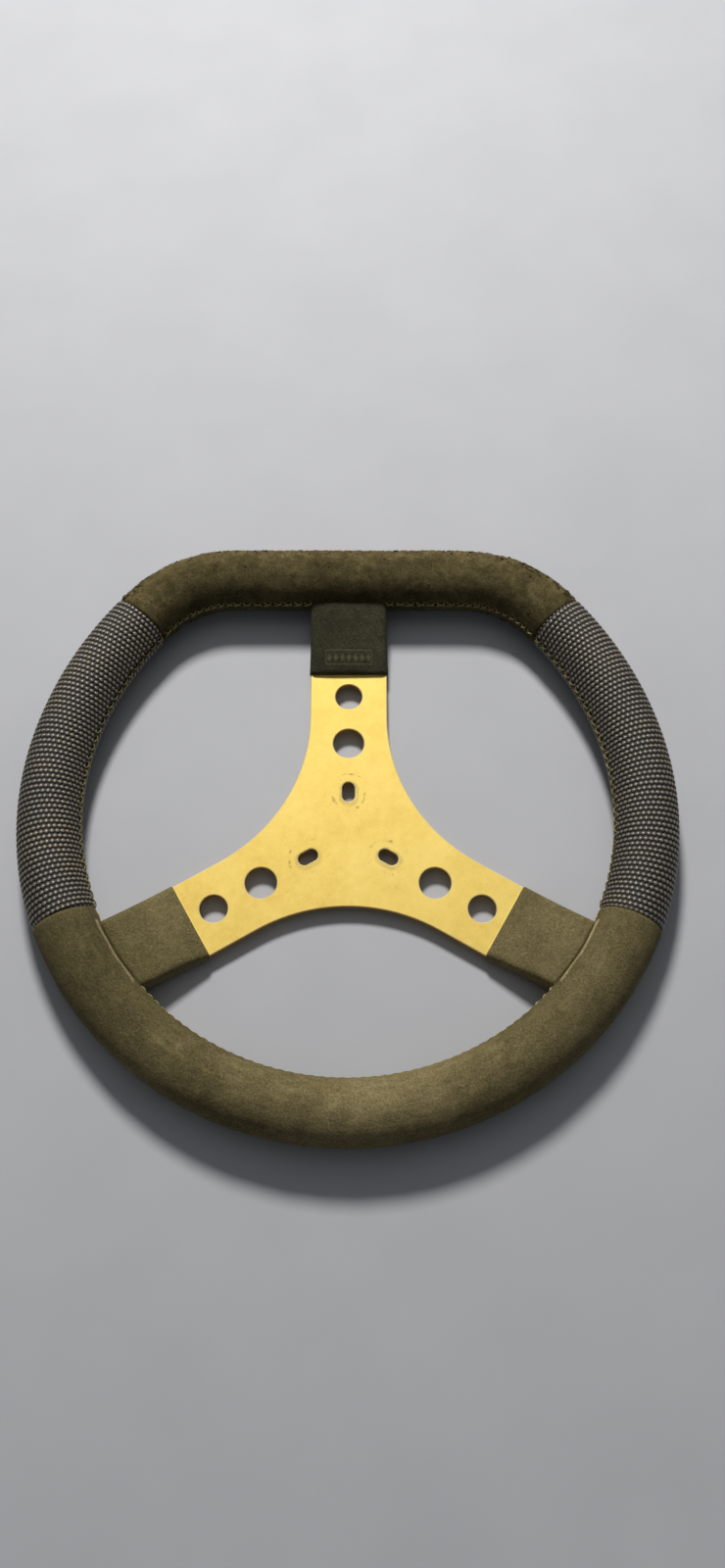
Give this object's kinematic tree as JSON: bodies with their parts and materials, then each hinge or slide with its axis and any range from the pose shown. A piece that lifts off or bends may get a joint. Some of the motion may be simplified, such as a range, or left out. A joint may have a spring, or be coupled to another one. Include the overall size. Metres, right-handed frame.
{
  "type": "steering wheel",
  "caption": "Flat-topped kart steering wheel: slotted gold spoke plate bolted to a hub, foam rim covered in suede and textured grips, padded boots over the spoke ends.",
  "frame": {"origin": "on the hub axis, on the spoke plate's rear face, which seats on the hub", "axes": "+Z from the hub towards the driver, +Y to the flat top of the rim, +X to the driver's right"},
  "size_m": [0.33, 0.3099, 0.032],
  "materials": {
    "anodised_gold": "satin gold anodised sheet, faintly brushed",
    "core_steel": "plain welded steel",
    "rivet_metal": "plain",
    "moulded_foam": "moulded polyurethane foam",
    "suede": "worn olive microfibre suede, slightly pilled",
    "boot_suede": "olive microfibre suede over padding",
    "textured_grip": "dark moulded bobble texture with a soft gloss",
    "thread": "twisted sewing thread, olive gold"
  },
  "bodies": {
    "root": {"spoke_plate": "anodised_gold", "rim_core_tube": "core_steel", "rim_foam": "moulded_foam", "spoke_tab_top": "core_steel", "spoke_tab_left": "core_steel", "spoke_tab_right": "core_steel", "rivets_top": "rivet_metal", "rivets_left": "rivet_metal", "rivets_right": "rivet_metal", "suede_cover_upper": "suede", "suede_cover_lower": "suede", "grip_cover_left": "textured_grip", "grip_cover_right": "textured_grip", "seam_thread_upper": "thread", "seam_thread_lower": "thread", "seam_thread_left": "thread", "seam_thread_right": "thread", "boot_foam_top": "moulded_foam", "boot_foam_left": "moulded_foam", "boot_foam_right": "moulded_foam", "boot_cover_top": "boot_suede", "boot_cover_left": "boot_suede", "boot_cover_right": "boot_suede", "boot_stitch_top": "thread", "boot_stitch_left": "thread", "boot_stitch_right": "thread"}
  },
  "joints": []
}
